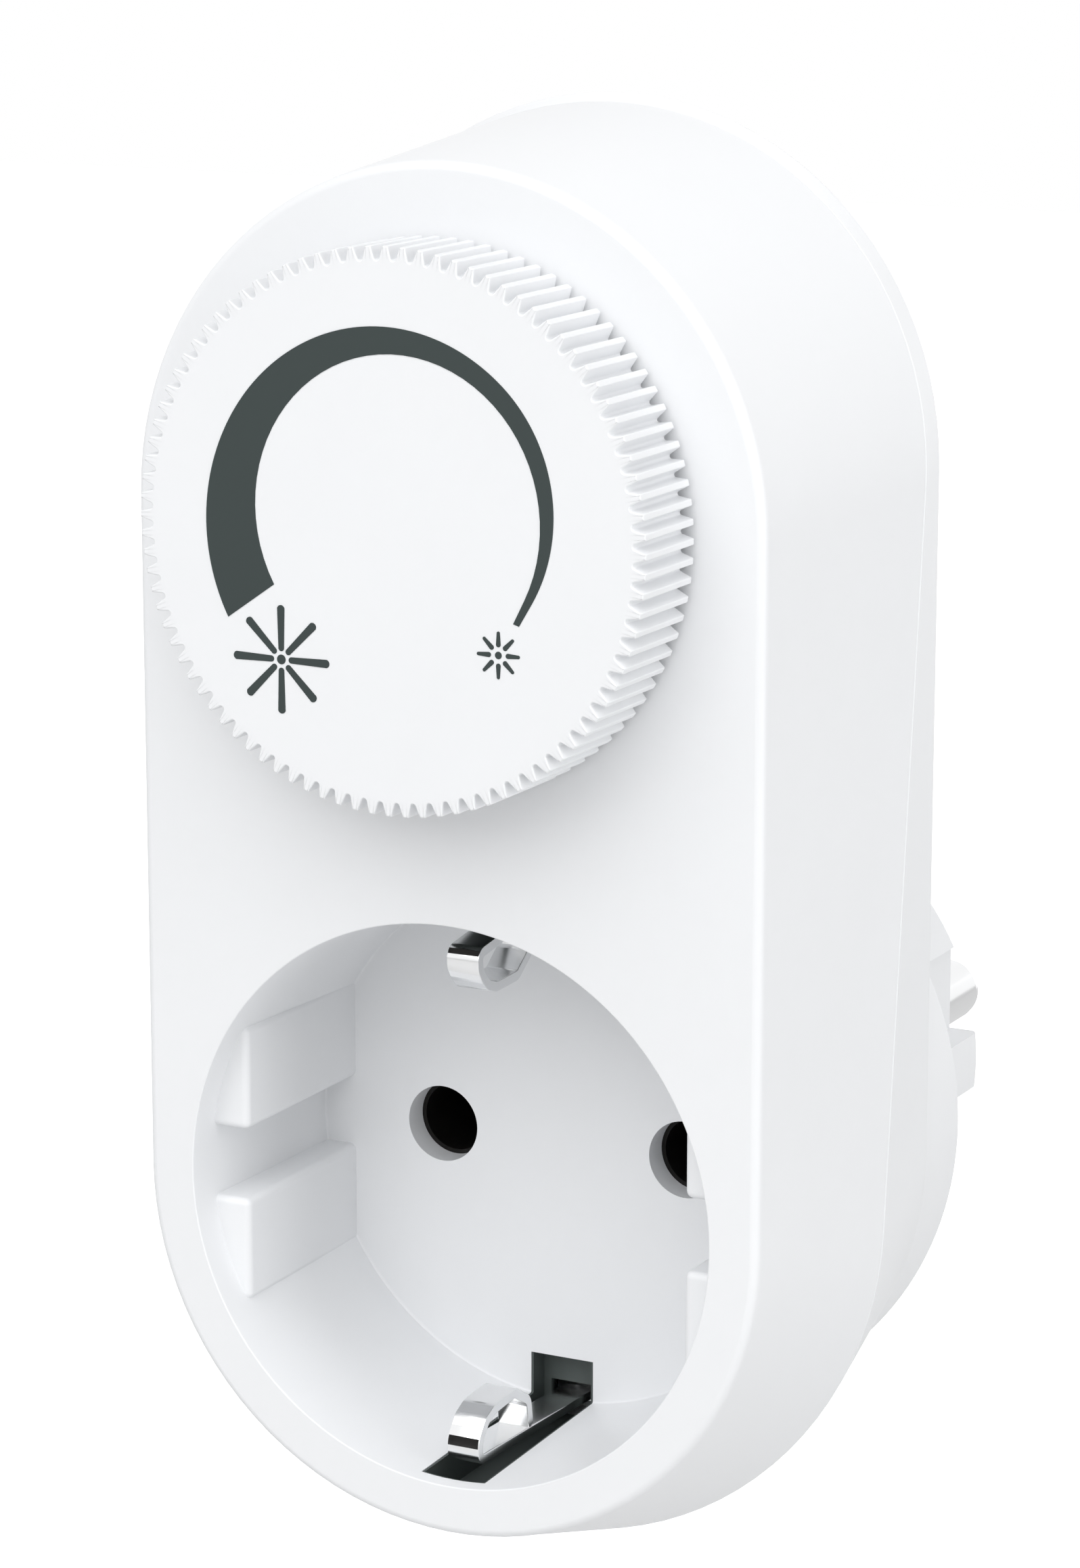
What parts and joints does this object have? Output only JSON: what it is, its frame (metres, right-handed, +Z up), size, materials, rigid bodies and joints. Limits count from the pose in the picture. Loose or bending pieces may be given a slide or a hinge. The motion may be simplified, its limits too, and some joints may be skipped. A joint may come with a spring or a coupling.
{
  "type": "plug-in dimmer",
  "caption": "White wall-plug dimmer: tall rounded housing with a knurled brightness dial above an earthed round socket, and a round two-pin earthed plug on its back.",
  "frame": {"origin": "centre of the plug's mating face, midway between its pins", "axes": "+X to the right seen from the front, +Y into the wall along the pins, +Z up from the socket to the dial"},
  "size_m": [0.0494, 0.0743, 0.0998],
  "materials": {
    "white_shell": "satin moulded plastic",
    "white_dial": "satin moulded plastic",
    "black_plastic": "matte moulded plastic",
    "brown_laminate": "paper laminate",
    "board_green": "solder mask",
    "ferrite": "sintered",
    "copper_wire": "enamelled",
    "yellow_plastic": "moulded",
    "red_plastic": "dipped",
    "blue_glass": "lacquered",
    "beige_lacquer": "lacquered",
    "fuse_glass": "clear",
    "spring_brass": "bright",
    "dark_bronze": "blackened",
    "nickel": "nickel plated",
    "steel": "zinc plated",
    "aluminium": "plain",
    "brown_wire": "insulation",
    "black_wire": "insulation"
  },
  "bodies": {
    "housing": {"front_cover": "white_shell", "rear_cover": "white_shell", "pot_body": "black_plastic", "pot_base": "brown_laminate", "pot_track": "black_plastic", "circuit_board": "board_green", "triac": "black_plastic", "heat_sink": "aluminium", "choke_core": "ferrite", "choke_winding": "copper_wire", "film_capacitor": "yellow_plastic", "timing_capacitor": "red_plastic", "diac": "blue_glass", "resistors": "beige_lacquer", "fuse": "fuse_glass", "fuse_clips": "spring_brass", "live_pin": "nickel", "neutral_pin": "nickel", "live_socket_contact": "dark_bronze", "neutral_socket_contact": "dark_bronze", "contact_carrier": "black_plastic", "earth_strap": "nickel", "plug_earth_contact_top": "nickel", "plug_earth_contact_bottom": "nickel", "live_wire": "brown_wire", "load_wire": "black_wire", "housing_screws": "steel"},
    "dial": {"knob": "white_dial", "pot_shaft": "steel", "pot_wiper": "spring_brass"},
    "top_clip": {"socket_earth_clip_top": "nickel"},
    "bottom_clip": {"socket_earth_clip_bottom": "nickel"}
  },
  "joints": [
    {"name": "dial_turn", "type": "hinge", "parent": "housing", "child": "dial", "pos_m": [0, -0.048, 0.0459], "axis": [0, 1, 0], "range_deg": [-135, 135]},
    {"name": "top_clip_swing", "type": "hinge", "parent": "housing", "child": "top_clip", "pos_m": [0, -0.0275, 0.0185], "axis": [-1, 0, 0], "range_deg": [0, 5.5], "stiffness_Nm_per_rad": 0.6},
    {"name": "bottom_clip_swing", "type": "hinge", "parent": "housing", "child": "bottom_clip", "pos_m": [0, -0.0275, -0.0201], "axis": [1, 0, 0], "range_deg": [0, 5.5], "stiffness_Nm_per_rad": 0.6}
  ]
}
